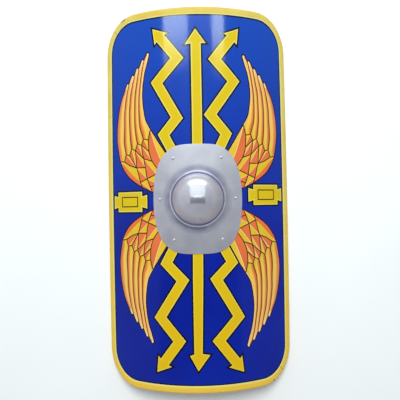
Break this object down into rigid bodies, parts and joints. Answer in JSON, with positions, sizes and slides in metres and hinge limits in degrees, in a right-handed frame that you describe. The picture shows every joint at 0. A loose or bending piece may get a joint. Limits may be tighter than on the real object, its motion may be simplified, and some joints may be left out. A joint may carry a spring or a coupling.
{
  "type": "scutum shield",
  "caption": "Tall rectangular Roman shield curved across its width, painted wooden board with metal edging, domed steel boss and hand grip.",
  "frame": {"origin": "middle of the shield's footprint, on the surface that its two long edges rest on", "axes": "+Z out of the painted front, +Y towards the shield's top edge, +X to the right as seen from the front"},
  "size_m": [0.528, 1.07, 0.1741],
  "materials": {
    "painted_board": "glossy blue enamel with yellow, orange and black painted pattern; varnished wood behind",
    "edging": "glossy yellow enamel, a little worn at the strips' ends",
    "boss_steel": "satin polished",
    "rivet_steel": "polished",
    "grip_wood": "oiled"
  },
  "bodies": {
    "root": {"board": "painted_board", "rim_edging_top_right": "edging", "rim_edging_bottom_left": "edging", "boss": "boss_steel", "rivet_top_left": "rivet_steel", "rivet_top_right": "rivet_steel", "rivet_middle_left": "rivet_steel", "rivet_middle_right": "rivet_steel", "rivet_bottom_left": "rivet_steel", "rivet_bottom_right": "rivet_steel", "hand_grip": "grip_wood"}
  },
  "joints": []
}
